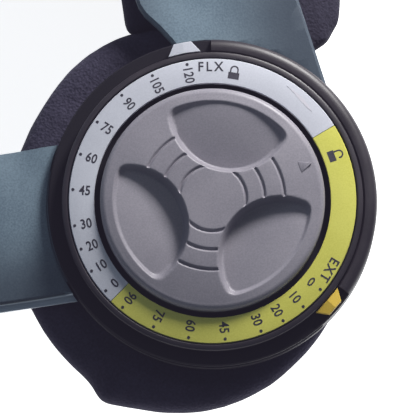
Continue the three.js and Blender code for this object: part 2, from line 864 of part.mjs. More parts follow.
// Each limb carries a bar, a cuff and two straps, with the rivets between the straps.
function addLimb(group, limb) {
  const { name, start, end, sectionAt, barAt, slope, taper, offset, barSolid, cuffSolid } = limb;
  const distances = limb.distances.sort((a, b) => a - b);
  const stations = distances.map((distance) => stationAt(distance + cuffOpening / 2, sectionAt(start)));
  const straps = { near: start + strapMargin + strapWidth / 2, far: end - strapMargin - strapWidth / 2 };
  const middle = (straps.near + straps.far) / 2;
  const places = rivetPlaces(middle, barAt(middle).top, slope, offset);
  const barEnd = straps.far + strapWidth / 2 + barPastStrap;
  let cuff = cuffSolid(distances);
  for (const hole of rivetHoles(places, barThickness + rivetInCuff + 2 * clearance)) {
    cuff = cuff.subtract(hole);
  }
  addPiece(group, `${name}_bar`, barSolid(barEnd, places), barPlastic);
  addPiece(group, `${name}_cuff`, cuff, navyFoam);
  places.forEach((place, i) => addPiece(group, `${name}_rivet_${i + 1}`, rivet(), steel, place));
  for (const [where, centre] of Object.entries(straps)) {
    addPiece(group, `${name}_strap_${where}`, strap(stations, sectionAt, barAt, centre), blackWebbing);
    const place = bucklePlace(stations, sectionAt, centre, taper);
    addPiece(group, `${name}_buckle_${where}`, buckle(), blackPlastic, place);
  }
}

addLimb(upperArm, {
  name: 'upper',
  start: upperCuffStart,
  end: upperCuffStart + upperCuffLength,
  sectionAt: upperSection,
  distances: upperCuffDistances(),
  barAt: () => ({ from: -barWidth / 2, to: barWidth / 2, top: barTop }),
  slope: 0,
  taper: 0,
  offset: 0,
  barSolid: upperBar,
  cuffSolid: upperCuff,
});

addLimb(forearm, {
  name: 'forearm',
  start: forearmCuffStart,
  end: forearmCuffEnd,
  sectionAt: forearmSection,
  distances: wrapDistances(forearmSection(forearmCuffStart)),
  barAt: (y) => ({
    from: forearmBarOffset - barWidth / 2,
    to: forearmBarOffset + barWidth / 2,
    top: forearmBarTop(y),
  }),
  slope: forearmSlope,
  taper: forearmTaper,
  offset: forearmBarOffset,
  barSolid: forearmBar,
  cuffSolid: forearmCuff,
});

// The origin is under the middle of the whole brace, on the surface that it lies on.
const middle = new THREE.Box3().setFromObject(brace, true).getCenter(new THREE.Vector3());
brace.position.set(-middle.x, -middle.y, -restLevel);

export default brace;
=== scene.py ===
import math

import bmesh
import bpy
from mathutils import Matrix, Vector


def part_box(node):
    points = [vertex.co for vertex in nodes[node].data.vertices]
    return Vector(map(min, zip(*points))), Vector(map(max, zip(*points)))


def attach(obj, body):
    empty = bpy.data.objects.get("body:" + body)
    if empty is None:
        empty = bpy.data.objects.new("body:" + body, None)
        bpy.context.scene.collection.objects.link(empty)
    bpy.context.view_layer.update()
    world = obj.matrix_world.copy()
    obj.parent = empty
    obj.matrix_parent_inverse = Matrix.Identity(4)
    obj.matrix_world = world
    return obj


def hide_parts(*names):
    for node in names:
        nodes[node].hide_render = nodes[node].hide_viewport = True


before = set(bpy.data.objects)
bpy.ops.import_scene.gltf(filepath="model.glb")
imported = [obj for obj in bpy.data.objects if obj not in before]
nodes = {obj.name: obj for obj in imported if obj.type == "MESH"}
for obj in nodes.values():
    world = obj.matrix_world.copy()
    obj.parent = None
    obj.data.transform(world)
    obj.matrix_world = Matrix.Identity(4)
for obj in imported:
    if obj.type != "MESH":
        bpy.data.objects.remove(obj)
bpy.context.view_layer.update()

mm = 0.001
plateLow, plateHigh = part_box("hinge_base")
axisX = (plateLow[0] + plateHigh[0]) / 2  # the hinge axis stands upright here
axisY = (plateLow[1] + plateHigh[1]) / 2
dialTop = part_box("flexion_scale")[0][2] + 0.8 * mm  # the bezel's upper edge
weldWithin = 0.002 * mm
upperTurn = math.radians(8.5)  # from +Y to the upper arm's own direction
forearmTurn = math.radians(98.5)


# materials

def linear(*srgb):
    return [((c / 255 + 0.055) / 1.055) ** 2.4 if c > 10 else c / 255 / 12.92 for c in srgb] + [1]


def newMaterial(name):
    material = bpy.data.materials.new(name)
    material.use_nodes = True
    tree = material.node_tree
    return material, tree, tree.nodes["Principled BSDF"]


def addNode(tree, kind, inputs=None, **settings):
    node = tree.nodes.new(kind)
    for name, value in settings.items():
        setattr(node, name, value)
    for name, value in (inputs or {}).items():
        if isinstance(value, bpy.types.NodeSocket):
            tree.links.new(value, node.inputs[name])
        else:
            node.inputs[name].default_value = value
    return node


def objectNoise(tree, scale, detail=2.0, roughness=0.5):
    place = addNode(tree, "ShaderNodeTexCoord").outputs["Object"]
    node = addNode(tree, "ShaderNodeTexNoise", {"Vector": place, "Scale": scale, "Detail": detail,
                                                "Roughness": roughness})
    return node.outputs["Fac"]


def spread(tree, value, low, high, fromLow=0.3, fromHigh=0.7):
    node = addNode(tree, "ShaderNodeMapRange", {"Value": value, "From Min": fromLow, "From Max": fromHigh,
                                                "To Min": low, "To Max": high})
    return node.outputs["Result"]


def mixColours(tree, factor, dark, light):
    node = addNode(tree, "ShaderNodeMix", {"Factor": factor}, data_type="RGBA")
    node.inputs[6].default_value = dark
    node.inputs[7].default_value = light
    return node.outputs[2]


def tintedBy(tree, attribute, colour, paintedTones):
    # painted light: the attribute runs from 1, the painted shade colour, through 0, no change, to -1, the
    # painted highlight colour
    amount = addNode(tree, "ShaderNodeAttribute", attribute_name=attribute).outputs["Fac"]
    for sign, paintedLight in zip((1, -1), paintedTones):
        share = addNode(tree, "ShaderNodeMath", {0: amount, 1: sign}, operation="MULTIPLY",
                        use_clamp=True).outputs[0]
        node = addNode(tree, "ShaderNodeMix", {"Factor": share}, data_type="RGBA")
        tree.links.new(colour, node.inputs[6])
        node.inputs[7].default_value = paintedLight
        colour = node.outputs[2]
    return colour


def mouldedPlastic(name, dark, light, look):
    material, tree, shader = newMaterial(name)
    grain = objectNoise(tree, look["grainScale"], 2.0)
    cloud = objectNoise(tree, look["cloudScale"], 3.0)
    both = addNode(tree, "ShaderNodeMath", {0: grain, 1: cloud}, operation="ADD").outputs[0]
    colour = mixColours(tree, spread(tree, both, 0, 1, 0.75, 1.25), dark, light)
    if "paintedTones" in look:
        colour = tintedBy(tree, "paintedLight", colour, look["paintedTones"])
    tree.links.new(colour, shader.inputs["Base Color"])
    roughness = spread(tree, cloud, look["roughness"] - 0.05, look["roughness"] + 0.06)
    tree.links.new(roughness, shader.inputs["Roughness"])
    bump = addNode(tree, "ShaderNodeBump", {"Height": grain, "Strength": look["bump"],
                                            "Distance": 0.05 * mm})
    tree.links.new(bump.outputs["Normal"], shader.inputs["Normal"])
    shader.inputs["Specular IOR Level"].default_value = look["specular"]
    return material


def foamCover(name, dark, light, look):
    material, tree, shader = newMaterial(name)
    place = addNode(tree, "ShaderNodeTexCoord").outputs["Object"]
    loops = addNode(tree, "ShaderNodeTexVoronoi", {"Vector": place, "Scale": look["loopScale"]})
    cloud = objectNoise(tree, look["cloudScale"], 4.0)
    fuzz = objectNoise(tree, look["fuzzScale"], 2.0)
    mixed = addNode(tree, "ShaderNodeMath", {0: cloud, 1: fuzz}, operation="ADD").outputs[0]
    colour = mixColours(tree, spread(tree, mixed, 0, 1, 0.8, 1.2), dark, light)
    tree.links.new(colour, shader.inputs["Base Color"])
    relief = addNode(tree, "ShaderNodeMath", {0: loops.outputs["Distance"], 1: fuzz}, operation="ADD")
    bump = addNode(tree, "ShaderNodeBump", {"Height": relief.outputs[0], "Strength": look["bump"],
                                            "Distance": 0.25 * mm})
    tree.links.new(bump.outputs["Normal"], shader.inputs["Normal"])
    shader.inputs["Roughness"].default_value = 0.95
    shader.inputs["Specular IOR Level"].default_value = 0.15
    shader.inputs["Sheen Weight"].default_value = look["sheen"]
    shader.inputs["Sheen Roughness"].default_value = 0.5
    shader.inputs["Sheen Tint"].default_value = linear(150, 150, 175)
    return material


def wovenStrap(name, dark, light, look):
    material, tree, shader = newMaterial(name)
    uv = addNode(tree, "ShaderNodeUVMap", uv_map="weave").outputs["UV"]
    along = addNode(tree, "ShaderNodeTexWave", {"Vector": uv, "Scale": look["picks"], "Distortion": 0.4,
                                                "Detail Scale": 2.0}, bands_direction="X").outputs["Fac"]
    across = addNode(tree, "ShaderNodeTexWave", {"Vector": uv, "Scale": look["ribs"], "Distortion": 0.2},
                     bands_direction="Y").outputs["Fac"]
    weave = addNode(tree, "ShaderNodeMath", {0: along, 1: across}, operation="MULTIPLY").outputs[0]
    cloud = objectNoise(tree, look["cloudScale"], 3.0)
    shade = addNode(tree, "ShaderNodeMath", {0: weave, 1: cloud}, operation="ADD").outputs[0]
    colour = mixColours(tree, spread(tree, shade, 0, 1, 0.4, 1.4), dark, light)
    tree.links.new(colour, shader.inputs["Base Color"])
    bump = addNode(tree, "ShaderNodeBump", {"Height": weave, "Strength": look["bump"],
                                            "Distance": 0.25 * mm})
    tree.links.new(bump.outputs["Normal"], shader.inputs["Normal"])
    shader.inputs["Roughness"].default_value = 0.75
    shader.inputs["Sheen Weight"].default_value = 0.15
    return material


def satinSteel(name):
    material, tree, shader = newMaterial(name)
    shader.inputs["Base Color"].default_value = linear(176, 178, 184)
    shader.inputs["Metallic"].default_value = 1
    tree.links.new(spread(tree, objectNoise(tree, 900, 3.0), 0.22, 0.42), shader.inputs["Roughness"])
    return material


finishes = {
    "black_plastic": mouldedPlastic("blackHousing", linear(34, 29, 36), linear(43, 37, 45), {
        "grainScale": 2600, "cloudScale": 90, "roughness": 0.43, "bump": 0.25, "specular": 0.55}),
    "white_plastic": mouldedPlastic("whiteScale", linear(190, 192, 202), linear(200, 202, 212), {
        "grainScale": 3200, "cloudScale": 60, "roughness": 0.42, "bump": 0.1, "specular": 0.35}),
    "lime_plastic": mouldedPlastic("limeScale", linear(201, 198, 88), linear(213, 210, 102), {
        "grainScale": 3200, "cloudScale": 60, "roughness": 0.42, "bump": 0.1, "specular": 0.3}),
    "amber_plastic": mouldedPlastic("amberPointer", linear(206, 172, 56), linear(218, 186, 70), {
        "grainScale": 3200, "cloudScale": 120, "roughness": 0.38, "bump": 0.1, "specular": 0.4}),
    "grey_plastic": mouldedPlastic("greyKnob", linear(131, 128, 137), linear(147, 143, 152), {
        "grainScale": 2800, "cloudScale": 70, "roughness": 0.44, "bump": 0.22, "specular": 0.4}),
    # the bar plastic also takes a painted shade colour and a painted highlight colour, laid on through the
    # paintedLight attribute
    "bar_plastic": mouldedPlastic("blueGreyBar", linear(98, 116, 130), linear(122, 141, 154), {
        "grainScale": 2300, "cloudScale": 55, "roughness": 0.5, "bump": 0.35, "specular": 0.35,
        "paintedTones": (linear(52, 60, 72), linear(190, 202, 214))}),
    "navy_fabric": foamCover("navyFoamCover", linear(46, 44, 58), linear(62, 59, 76), {
        "loopScale": 1500, "cloudScale": 60, "fuzzScale": 1900, "bump": 0.6, "sheen": 0.12}),
    "black_webbing": wovenStrap("blackWebbing", linear(24, 23, 29), linear(52, 50, 60), {
        "picks": 110, "ribs": 190, "cloudScale": 50, "bump": 0.8}),
    "steel": satinSteel("satinSteel"),
}
# painted shade: a darker copy of the navy foam cover for the cuffs, whose foam is the same as the elbow pad's
cuffShadedNavy = foamCover("cuffFoamCoverShaded", linear(36, 34, 45), linear(49, 47, 60), {
    "loopScale": 1500, "cloudScale": 60, "fuzzScale": 1900, "bump": 0.6, "sheen": 0.1})
streakGrey = mouldedPlastic("streakGrey", linear(186, 184, 194), linear(194, 192, 201), {
    "grainScale": 3200, "cloudScale": 400, "roughness": 0.5, "bump": 0.1, "specular": 0.3})
# painted shade: a darker, duller copy of the housing black for its recesses
recessPaintedShade = mouldedPlastic("recessPaintedShade", linear(22, 20, 27), linear(28, 26, 33), {
    "grainScale": 2600, "cloudScale": 90, "roughness": 0.65, "bump": 0.2, "specular": 0.15})
printInk = mouldedPlastic("darkPrint", linear(52, 50, 60), linear(66, 64, 74), {
    "grainScale": 3000, "cloudScale": 300, "roughness": 0.6, "bump": 0.05, "specular": 0.2})
print("materials ready")


# making pieces

def makePiece(name, bm, body, slot, replaced=(), smooth=35, material=None):
    bmesh.ops.remove_doubles(bm, verts=bm.verts, dist=weldWithin)
    mesh = bpy.data.meshes.new(name)
    bm.to_mesh(mesh)
    bm.free()
    mesh.materials.append(material or finishes[slot])
    mesh.shade_smooth()
    mesh.set_sharp_from_angle(angle=math.radians(smooth))
    piece = bpy.data.objects.new(name, mesh)
    bpy.context.scene.collection.objects.link(piece)
    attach(piece, body)
    if replaced:
        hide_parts(*replaced)
    return piece


def mergedCopy(node):
    # the CAD mesh is loose triangles, so the copy is welded and its flat faces are joined
    bm = bmesh.new()
    bm.from_mesh(nodes[node].data)
    bmesh.ops.remove_doubles(bm, verts=bm.verts, dist=0.005 * mm)
    bmesh.ops.dissolve_limit(bm, angle_limit=math.radians(0.5), verts=bm.verts, edges=bm.edges)
    return bm


def roundEdges(bm, width, segments=2, fromAngle=30, chosen=None):
    edges = [e for e in bm.edges if e.is_manifold and e.calc_face_angle(0) > math.radians(fromAngle)
             and (chosen is None or chosen(e))]
    bmesh.ops.bevel(bm, geom=edges, affect="EDGES", offset=width, offset_type="OFFSET", segments=segments,
                    profile=0.5, clamp_overlap=True, material=-1)


def spinProfile(bm, profile, start=0, sweep=360, steps=180, ring=False):
    # profile: (radius, height) pairs in mm above the dial's top, turned about the hinge axis
    turn = Matrix.Rotation(math.radians(start), 4, "Z")
    centre = Vector((axisX, axisY, 0))
    first = [bm.verts.new(centre + turn @ Vector((r * mm, 0, 0)) + Vector((0, 0, dialTop + z * mm)))
             for r, z in profile]
    edges = [bm.edges.new(pair) for pair in zip(first, first[1:])]
    if ring:
        edges.append(bm.edges.new((first[-1], first[0])))
    full = sweep == 360
    made = bmesh.ops.spin(bm, geom=first + edges, cent=centre, axis=(0, 0, 1), angle=math.radians(sweep),
                          steps=steps, use_merge=full, use_duplicate=False)
    if not full:
        bm.faces.new(first)
        bm.faces.new([v for v in made["geom_last"] if isinstance(v, bmesh.types.BMVert)])
    bmesh.ops.remove_doubles(bm, verts=bm.verts, dist=weldWithin)


def ringPiece(bm, inner, outer, low, high, start, sweep, steps):
    corners = [(inner, low), (outer, low), (outer, high), (inner, high)]
    spinProfile(bm, corners, start, sweep, steps, ring=True)


def weldAndTurnOut(bm):
    bmesh.ops.remove_doubles(bm, verts=bm.verts, dist=weldWithin)
    bmesh.ops.recalc_face_normals(bm, faces=bm.faces)


def toLimb(point, turn):
    # limb coordinates in mm: y from the hinge axis along the limb, x across it
    c, s = math.cos(turn), math.sin(turn)
    x, y = (point.x - axisX) / mm, (point.y - axisY) / mm
    return Vector((x * c + y * s, -x * s + y * c, point.z / mm))


# housing: cap with bezel, closed band and the wall under it

housing = {"radius": 35, "capLow": -4.6, "slotFloor": -2.8, "grooveInner": 29.5, "lipLow": -1.6,
           "paintedShadeBelow": -1.55, "bezelOuter": 32, "bezelInner": 30.8, "seat": -1.1, "wellRadius": 24.8,
           "wellFloor": -2.4,
           "bandInner": 32.15, "bandTop": -1.0, "bandStart": -34.2, "bandEnd": 90.5,
           "wallInner": 32.4, "wallLow": -7.9, "walls": [(-48, 53.9), (100.6, 125)]}


def makeHousing():
    h = housing
    bm = bmesh.new()
    spinProfile(bm, [
        (0, h["capLow"]), (h["radius"] - 0.25, h["capLow"]), (h["radius"], h["capLow"] + 0.25),
        (h["radius"], h["slotFloor"] - 0.3), (h["radius"] - 0.3, h["slotFloor"]),
        (h["grooveInner"], h["slotFloor"]), (h["grooveInner"], h["lipLow"]), (h["bezelOuter"], h["lipLow"]),
        (h["bezelOuter"], -0.45), (h["bezelOuter"] - 0.12, -0.16), (h["bezelOuter"] - 0.4, 0),
        (h["bezelInner"] + 0.15, 0), (h["bezelInner"], -0.15), (h["bezelInner"], h["seat"]),
        (h["wellRadius"] + 0.15, h["seat"]), (h["wellRadius"], h["seat"] - 0.15),
        (h["wellRadius"], h["wellFloor"]), (0, h["wellFloor"]),
    ])
    band = bmesh.new()
    spinProfile(band, [
        (h["bandInner"], h["slotFloor"] - 0.2), (h["radius"], h["slotFloor"] - 0.2),
        (h["radius"], h["bandTop"] - 1.3), (h["radius"] - 0.25, h["bandTop"] - 0.75),
        (h["radius"] - 0.7, h["bandTop"] - 0.32), (h["radius"] - 1.3, h["bandTop"] - 0.08),
        (h["radius"] - 1.9, h["bandTop"]), (h["bandInner"] + 0.3, h["bandTop"] - 0.06),
        (h["bandInner"], h["bandTop"] - 0.4),
    ], h["bandStart"], h["bandEnd"] - h["bandStart"], 62, ring=True)
    for start, end in h["walls"]:
        ringPiece(band, h["wallInner"], h["radius"], h["wallLow"], h["capLow"] + 0.1, start, end - start,
                  max(6, int((end - start) / 2)))
    weldAndTurnOut(band)
    mesh = bpy.data.meshes.new("bandPart")
    band.to_mesh(mesh)
    band.free()
    weldAndTurnOut(bm)
    # faces low in the slot and inside the bezel take a darker, duller black: painted shade in the recesses
    for face in bm.faces:
        place = face.calc_center_median() - Vector((axisX, axisY, dialTop))
        if place.z < h["paintedShadeBelow"] * mm or place.xy.length < h["bezelInner"] * mm:
            face.material_index = 1
    bm.from_mesh(mesh)
    shell = makePiece("hinge_housing_shell", bm, "upper_arm", "black_plastic", ["hinge_housing"])
    shell.data.materials.append(recessPaintedShade)


plate = {"low": -10.9, "top": -8.2, "radius": 35, "hubRadius": 8, "hubTop": -4.95}


def makeBase():
    p = plate
    bm = bmesh.new()
    spinProfile(bm, [
        (0, p["low"]), (p["radius"] - 0.5, p["low"]), (p["radius"], p["low"] + 0.5),
        (p["radius"], p["top"] - 0.2), (p["radius"] - 0.2, p["top"]), (p["hubRadius"], p["top"]),
        (p["hubRadius"], p["hubTop"]), (0, p["hubTop"]),
    ])
    weldAndTurnOut(bm)
    makePiece("hinge_plate", bm, "upper_arm", "black_plastic", ["hinge_base"])


makeHousing()
makeBase()
print("housing ready")


# scales, slightly conical, with their print

dial = {"inner": 25.1, "outer": 30.5, "thick": 0.75, "rise": 0.75, "whiteStart": 32, "whiteEnd": 225,
        "gap": 0.12, "stepDegrees": 1.5, "dotRadius": 29.7, "dotSize": 0.34, "numberRadius": 27.2,
        "letterHeight": 2.1, "numberSqueeze": 0.84, "wordSqueeze": 0.92, "printHeight": 0.05}


def dialSurface(radius):
    share = (radius - dial["inner"]) / (dial["outer"] - dial["inner"])
    return dial["rise"] * (1 - share)


def makeScale(name, node, slot, start, end):
    d = dial
    bm = bmesh.new()
    sweep = end - start - 2 * d["gap"]
    spinProfile(bm, [
        (d["inner"], -d["thick"]), (d["outer"], -d["thick"]), (d["outer"], -0.12), (d["outer"] - 0.12, 0.01),
        (d["inner"] + 0.2, dialSurface(d["inner"] + 0.2)), (d["inner"] + 0.06, d["rise"] - 0.05),
        (d["inner"], d["rise"] - 0.2),
    ], start + d["gap"], sweep, int(sweep / d["stepDegrees"]), ring=True)
    weldAndTurnOut(bm)
    makePiece(name, bm, "upper_arm", slot, [node])


def dialFrame(degrees, radius, way):
    # a place on the dial: way "in" reads towards the centre, "out" away from it, "clockwise" round it
    angle = math.radians(degrees)
    outward = Vector((math.cos(angle), math.sin(angle), 0))
    clockwise = Vector((math.sin(angle), -math.cos(angle), 0))
    slope = Vector((0, 0, -dial["rise"] / (dial["outer"] - dial["inner"])))
    right = {"in": -outward - slope, "out": outward + slope, "clockwise": clockwise}[way]
    up = {"in": clockwise, "out": -clockwise, "clockwise": outward + slope}[way]
    frameMatrix = Matrix((right, up, right.cross(up))).transposed().to_4x4()
    place = Vector((axisX, axisY, dialTop)) + outward * radius * mm + Vector((0, 0, dialSurface(radius) * mm))
    return Matrix.Translation(place) @ frameMatrix


lettering = {"halfThickness": 0.02, "boldness": 0.018, "spacing": 1.05}


def writeText(bm, words, place, squeeze, spacing=lettering["spacing"]):
    curve = bpy.data.curves.new("printed", "FONT")
    curve.body = words
    curve.extrude = lettering["halfThickness"]
    curve.resolution_u = 4
    curve.space_character = spacing
    curve.offset = lettering["boldness"]
    source = bpy.data.objects.new("printed", curve)
    bpy.context.scene.collection.objects.link(source)
    bpy.context.view_layer.update()
    mesh = bpy.data.meshes.new_from_object(source.evaluated_get(bpy.context.evaluated_depsgraph_get()))
    bpy.data.objects.remove(source)
    xs = [v.co.x for v in mesh.vertices]
    ys = [v.co.y for v in mesh.vertices]
    size = dial["letterHeight"] * mm / (max(ys) - min(ys))
    middle = Vector(((max(xs) + min(xs)) / 2, (max(ys) + min(ys)) / 2, 0))
    thickness = dial["printHeight"] * mm / (2 * lettering["halfThickness"])
    scale = Matrix.Diagonal((size * squeeze, size, thickness, 1))
    mesh.transform(place @ scale @ Matrix.Translation(-middle))
    bm.from_mesh(mesh)
    bpy.data.meshes.remove(mesh)


def raised(bm, faces, place):
    # gives flat drawn faces the thickness of the print and puts them on the dial
    thick = dial["printHeight"] * mm
    grown = bmesh.ops.extrude_face_region(bm, geom=faces, use_keep_orig=True)
    top = [v for v in grown["geom"] if isinstance(v, bmesh.types.BMVert)]
    bmesh.ops.translate(bm, verts=top, vec=(0, 0, thick))
    verts = {v for f in faces for v in f.verts} | set(top)
    bmesh.ops.translate(bm, verts=list(verts), vec=(0, 0, -thick / 2))
    bmesh.ops.transform(bm, matrix=place, verts=list(verts))


def drawDot(bm, degrees, radius, size):
    made = bmesh.ops.create_circle(bm, cap_ends=True, segments=12, radius=size * mm)
    faces = list({f for v in made["verts"] for f in v.link_faces})
    raised(bm, faces, dialFrame(degrees, radius, "in"))


def drawBar(bm, x0, y0, x1, y1, place):
    made = bmesh.ops.create_grid(bm, x_segments=1, y_segments=1, size=0.5)
    shape = Matrix.Translation(((x0 + x1) / 2 * mm, (y0 + y1) / 2 * mm, 0)) @ Matrix.Diagonal(
        ((x1 - x0) * mm, (y1 - y0) * mm, 1, 1))
    bmesh.ops.transform(bm, matrix=shape, verts=made["verts"])
    raised(bm, list({f for v in made["verts"] for f in v.link_faces}), place)


def drawBow(bm, x, y, inner, outer, place):
    # half a ring, open downwards
    ends = [bm.verts.new(((x + r) * mm, y * mm, 0)) for r in (inner, outer)]
    edge = bm.edges.new(ends)
    before = set(bm.faces)
    bmesh.ops.spin(bm, geom=ends + [edge], cent=(x * mm, y * mm, 0), axis=(0, 0, 1), angle=math.pi, steps=10)
    raised(bm, [f for f in bm.faces if f not in before], place)


padlock = {"low": -1.45, "width": 2.35, "height": 1.46, "bowOuter": 0.92, "bowInner": 0.6, "leg": 0.62,
           "openLeg": 0.95, "openEnd": 0.3, "stroke": 0.3, "bite": 0.05}


def drawPadlock(bm, degrees, radius, isOpen):
    place = dialFrame(degrees, radius, "clockwise")
    p = padlock
    top = p["low"] + p["height"]
    drawBar(bm, -p["width"] / 2, p["low"], p["width"] / 2, top, place)
    middle = (p["bowOuter"] + p["bowInner"]) / 2
    leg = p["openLeg"] if isOpen else p["leg"]
    drawBow(bm, 0, top + leg, p["bowInner"], p["bowOuter"], place)
    for side in (-1, 1):
        foot = top + leg - p["openEnd"] if isOpen and side > 0 else top - p["bite"]
        drawBar(bm, side * middle - p["stroke"] / 2, foot, side * middle + p["stroke"] / 2, top + leg, place)


streak = {"at": 50.0, "radius": 28.85, "reach": 3.9, "halfWidth": 0.36, "lean": 0.11, "taper": 0.6}


def makeStreak():
    # a faint tapering mark along the blank part of the white scale
    bm = bmesh.new()
    made = bmesh.ops.create_grid(bm, x_segments=16, y_segments=1, size=1)
    for v in made["verts"]:
        x, side = v.co.x, v.co.y
        width = streak["halfWidth"] * (1 - x * x) * (1 + streak["taper"] * x)
        along = x * streak["reach"]
        rise = -along ** 2 / (2 * streak["radius"]) - streak["lean"] * along + side * width
        v.co = Vector((along * mm, rise * mm, 0))
    raised(bm, list(bm.faces), dialFrame(streak["at"], streak["radius"], "clockwise"))
    weldAndTurnOut(bm)
    makePiece("faint_streak", bm, "upper_arm", "white_plastic", material=streakGrey)


def makePrint(name, numbers, angleOf, way, word, wordAt, spacing, lock):
    bm = bmesh.new()
    for number in numbers:
        degrees = angleOf(number)
        writeText(bm, str(number), dialFrame(degrees, dial["numberRadius"], way), dial["numberSqueeze"])
        drawDot(bm, degrees, dial["dotRadius"], dial["dotSize"])
    writeText(bm, word, dialFrame(*wordAt, "clockwise"), dial["wordSqueeze"], spacing)
    drawPadlock(bm, *lock)
    weldAndTurnOut(bm)
    makePiece(name, bm, "upper_arm", "black_plastic", material=printInk)


makeScale("flexion_ring", "flexion_scale", "white_plastic", dial["whiteStart"], dial["whiteEnd"])
makeScale("extension_ring", "extension_scale", "lime_plastic", dial["whiteEnd"], dial["whiteStart"] + 360)
makePrint("flexion_print", [0, 10, 20, 30, 45, 60, 75, 90, 105, 120], lambda n: 220.5 - n, "in",
          "FLX", (90.6, 28.75), 1.35, (80.5, 27.8, False))
makePrint("extension_print", [0, 10, 20, 30, 45, 60, 75, 90], lambda n: 320.2 - n, "out",
          "EXT", (-31.1, 28.9), 1.2, (20.4, 27.7, True))
makeStreak()
print("dial ready")


# lock knob: three finger dents between ribs, with ring grooves across the ribs

knob = {"radius": 23.85, "top": 4.1, "low": -2.1, "edge": 1.5, "rings": 150, "steps": 300,
        "dentAt": [78.3, 198.3, 318.3], "reach": 21.1, "dentRadius": 13.15, "dentCentre": 19.1,
        "deep": 3.9, "shallow": 0.38, "cornerRound": 1.5, "wall": 1.5, "rimWall": 0.85,
        "grooves": [7.1, 11.0, 15.2], "grooveHalf": 0.5, "grooveDepth": 0.52, "dome": 1.35, "domeBend": 3,
        "stubRadius": 4.3, "stubTop": 0.5, "arrowAt": 19.9, "arrowRadius": 21.0, "arrowLength": 2.8,
        "arrowBase": 2.6, "arrowRise": 0.32, "arrowRoot": 0.2}


def smoothStep(value):
    value = max(0.0, min(1.0, value))
    return value * value * (3 - 2 * value)


def smoothLess(a, b, k):
    h = max(k - abs(a - b), 0) / k
    return min(a, b) - h * h * k / 4


def knobDrop(x, y):
    # how far the knob's face lies below its dome, in mm, at a place measured from the axis
    k = knob
    radius = math.hypot(x, y)
    drop = 0
    covered = 0
    start = k["dentCentre"] - k["dentRadius"]
    for direction in k["dentAt"]:
        c, s = math.cos(math.radians(direction)), math.sin(math.radians(direction))
        u, v = x * c + y * s, -x * s + y * c
        inReach = k["reach"] - math.hypot(u, v)
        inScoop = k["dentRadius"] - math.hypot(u - k["dentCentre"], v)
        inside = smoothLess(inReach, inScoop, k["cornerRound"])
        if inside <= -0.3:
            continue
        along = max(0.0, min(1.0, (u - start) / (k["reach"] - start)))
        depth = k["shallow"] + (k["deep"] - k["shallow"]) * (1 - along)
        width = k["rimWall"] + (k["wall"] - k["rimWall"]) * (1 - along)
        drop = max(drop, depth * smoothStep((inside + 0.15) / width))
        covered = max(covered, smoothStep((inside + 0.3) / 0.3))
    for groove in k["grooves"]:
        off = abs(radius - groove) / k["grooveHalf"]
        if off < 1:
            drop = max(drop, k["grooveDepth"] * (1 - smoothStep(off)) * (1 - covered))
    return drop


def makeKnob():
    k = knob
    bm = bmesh.new()
    flat = k["radius"] - k["edge"]
    rim = k["top"] - k["dome"]
    profile = [(flat * i / k["rings"], k["top"] - k["dome"] * (i / k["rings"]) ** k["domeBend"])
               for i in range(k["rings"] + 1)]
    for step in range(1, 9):
        angle = math.radians(90 * step / 8)
        profile.append((flat + k["edge"] * math.sin(angle), rim - k["edge"] * (1 - math.cos(angle))))
    profile += [(k["radius"], k["low"] + 0.2), (k["radius"] - 0.2, k["low"]), (k["stubRadius"], k["low"]),
                (k["stubRadius"], k["stubTop"]), (0, k["stubTop"])]
    spinProfile(bm, profile, steps=k["steps"])
    weldAndTurnOut(bm)
    for v in bm.verts:
        x, y = (v.co.x - axisX) / mm, (v.co.y - axisY) / mm
        if v.co.z > dialTop + (rim - 0.01) * mm:
            v.co.z -= knobDrop(x, y) * mm
    makePiece("lock_knob_cap", bm, "lock_knob", "grey_plastic", ["lock_knob"], smooth=60)

    arrow = bmesh.new()
    half = k["arrowLength"] / 2
    corners = [(-half, -k["arrowBase"] / 2), (half, 0), (-half, k["arrowBase"] / 2)]
    face = arrow.faces.new([arrow.verts.new((x * mm, y * mm, -k["arrowRoot"] * mm)) for x, y in corners])
    grown = bmesh.ops.extrude_face_region(arrow, geom=[face], use_keep_orig=True)
    lid = [v for v in grown["geom"] if isinstance(v, bmesh.types.BMVert)]
    bmesh.ops.translate(arrow, verts=lid, vec=(0, 0, (k["arrowRise"] + k["arrowRoot"]) * mm))
    weldAndTurnOut(arrow)
    roundEdges(arrow, 0.16 * mm, 2)
    arrowZ = k["top"] - k["dome"] * (k["arrowRadius"] / flat) ** k["domeBend"]
    place = Matrix.Translation((axisX, axisY, dialTop + arrowZ * mm)) @ Matrix.Rotation(
        math.radians(k["arrowAt"]), 4, "Z") @ Matrix.Translation((k["arrowRadius"] * mm, 0, 0))
    bmesh.ops.transform(arrow, matrix=place, verts=arrow.verts)
    makePiece("lock_arrow", arrow, "lock_knob", "grey_plastic")


makeKnob()
print("knob ready")


# pointers

def makePointer(name, node, body, slot, at, ridge):
    # the top face falls off to both sides of a ridge along the pointer's middle
    bm = mergedCopy(node)
    roundEdges(bm, 0.07 * mm, 1)
    side = Vector((-math.sin(math.radians(at)), math.cos(math.radians(at)), 0))
    centre = Vector((axisX, axisY, 0))
    bmesh.ops.bisect_plane(bm, geom=bm.verts[:] + bm.edges[:] + bm.faces[:], dist=0.001 * mm,
                           plane_co=centre, plane_no=side)
    top = max(v.co.z for v in bm.verts)
    for v in bm.verts:
        if v.co.z > top - 0.3 * mm:
            v.co.z -= ridge * abs((v.co - centre).dot(side)) / 2
    makePiece(name, bm, body, slot, [node], smooth=8)


makePointer("flexion_pointer_tab", "flexion_pointer", "flexion_pointer", "white_plastic", 100.7, 0.1)
makePointer("extension_pointer_tab", "extension_pointer", "extension_pointer", "amber_plastic", -41.2, 0.3)


# bars: crowned across their width, edges rounded

bars = {"halfWidth": 17, "edge": 0.7, "thick": 4.8, "bendAt": 98, "slope": 24 / 136, "topZ": 107.9,
        "step": 3, "edgeFrom": 34, "edgeAbove": 60}


